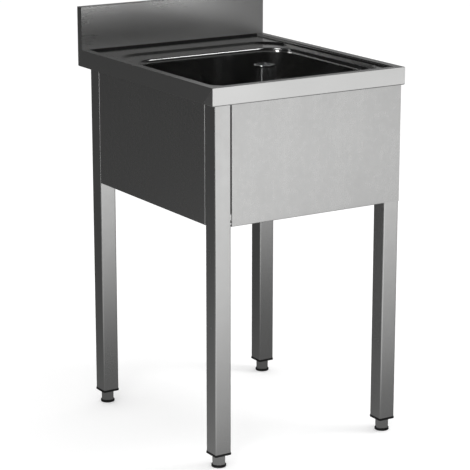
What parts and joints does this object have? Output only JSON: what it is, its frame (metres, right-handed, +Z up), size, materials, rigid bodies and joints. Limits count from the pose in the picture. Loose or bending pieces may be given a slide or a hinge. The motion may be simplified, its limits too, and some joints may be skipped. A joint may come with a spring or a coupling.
{
  "type": "utility laundry sink",
  "caption": "Free-standing stainless utility sink: deep square bowl with a lift-out standpipe, rear upstand, apron panels and four square legs on screw-in feet.",
  "frame": {"origin": "on the floor, under the middle of the worktop's outline", "axes": "+Z up, +Y to the back (the upstand's side), +X to the user's right when standing in front of the sink"},
  "size_m": [0.5, 0.6, 0.95],
  "materials": {
    "stainless_sheet": "fine satin brushed stainless sheet",
    "drawn_steel": "deep-drawn stainless, polished brighter than the sheet",
    "turned_steel": "machined stainless bar",
    "plated_steel": "bright plated steel",
    "chrome_brass": "chromed brass",
    "black_plastic": "black moulded plastic",
    "white_plastic": "plain white plastic ring",
    "black_rubber": "black rubber"
  },
  "bodies": {
    "frame": {"worktop": "stainless_sheet", "upstand_end_left": "stainless_sheet", "upstand_end_right": "stainless_sheet", "bowl": "drawn_steel", "front_rail": "stainless_sheet", "back_rail": "stainless_sheet", "left_rail": "stainless_sheet", "right_rail": "stainless_sheet", "front_apron": "stainless_sheet", "left_apron": "stainless_sheet", "right_apron": "stainless_sheet", "front_apron_screws": "plated_steel", "left_apron_screws": "plated_steel", "right_apron_screws": "plated_steel", "leg_bolts": "plated_steel", "waste_body": "chrome_brass", "waste_top_seal": "black_rubber", "waste_under_seal": "black_rubber", "waste_slip_ring": "white_plastic", "waste_locknut": "black_plastic", "leg_front_left": "stainless_sheet", "leg_socket_front_left": "plated_steel", "leg_cap_front_left": "black_plastic", "foot_nut_front_left": "plated_steel", "leg_front_right": "stainless_sheet", "leg_socket_front_right": "plated_steel", "leg_cap_front_right": "black_plastic", "foot_nut_front_right": "plated_steel", "leg_back_left": "stainless_sheet", "leg_socket_back_left": "plated_steel", "leg_cap_back_left": "black_plastic", "foot_nut_back_left": "plated_steel", "leg_back_right": "stainless_sheet", "leg_socket_back_right": "plated_steel", "leg_cap_back_right": "black_plastic", "foot_nut_back_right": "plated_steel"},
    "standpipe": {"standpipe_tube": "chrome_brass", "standpipe_ring": "chrome_brass", "standpipe_stopper": "black_rubber"},
    "foot_pad_front_left": {"foot_pad_front_left": "black_plastic"},
    "foot_screw_front_left": {"foot_screw_front_left": "turned_steel"},
    "foot_pad_front_right": {"foot_pad_front_right": "black_plastic"},
    "foot_screw_front_right": {"foot_screw_front_right": "turned_steel"},
    "foot_pad_back_left": {"foot_pad_back_left": "black_plastic"},
    "foot_screw_back_left": {"foot_screw_back_left": "turned_steel"},
    "foot_pad_back_right": {"foot_pad_back_right": "black_plastic"},
    "foot_screw_back_right": {"foot_screw_back_right": "turned_steel"}
  },
  "joints": [
    {"name": "standpipe_lift", "type": "slide", "parent": "frame", "child": "standpipe", "axis": [0, 0, 1], "range_m": [0, 0.3]},
    {"name": "foot_height_front_left", "type": "slide", "parent": "frame", "child": "foot_pad_front_left", "axis": [0, 0, -1], "range_m": [0, 0.024]},
    {"name": "foot_turn_front_left", "type": "hinge", "parent": "foot_pad_front_left", "child": "foot_screw_front_left", "pos_m": [-0.222, -0.276, 0], "axis": [0, 0, -1], "range_deg": [0, 5761]},
    {"name": "foot_height_front_right", "type": "slide", "parent": "frame", "child": "foot_pad_front_right", "axis": [0, 0, -1], "range_m": [0, 0.024]},
    {"name": "foot_turn_front_right", "type": "hinge", "parent": "foot_pad_front_right", "child": "foot_screw_front_right", "pos_m": [0.222, -0.276, 0], "axis": [0, 0, -1], "range_deg": [0, 5761]},
    {"name": "foot_height_back_left", "type": "slide", "parent": "frame", "child": "foot_pad_back_left", "axis": [0, 0, -1], "range_m": [0, 0.024]},
    {"name": "foot_turn_back_left", "type": "hinge", "parent": "foot_pad_back_left", "child": "foot_screw_back_left", "pos_m": [-0.222, 0.235, 0], "axis": [0, 0, -1], "range_deg": [0, 5761]},
    {"name": "foot_height_back_right", "type": "slide", "parent": "frame", "child": "foot_pad_back_right", "axis": [0, 0, -1], "range_m": [0, 0.024]},
    {"name": "foot_turn_back_right", "type": "hinge", "parent": "foot_pad_back_right", "child": "foot_screw_back_right", "pos_m": [0.222, 0.235, 0], "axis": [0, 0, -1], "range_deg": [0, 5761]}
  ],
  "couplings": [
    {"joint": "foot_turn_front_left", "follows": "foot_height_front_left", "rad_per_m": 4188.8},
    {"joint": "foot_turn_front_right", "follows": "foot_height_front_right", "rad_per_m": 4188.8},
    {"joint": "foot_turn_back_left", "follows": "foot_height_back_left", "rad_per_m": 4188.8},
    {"joint": "foot_turn_back_right", "follows": "foot_height_back_right", "rad_per_m": 4188.8}
  ]
}
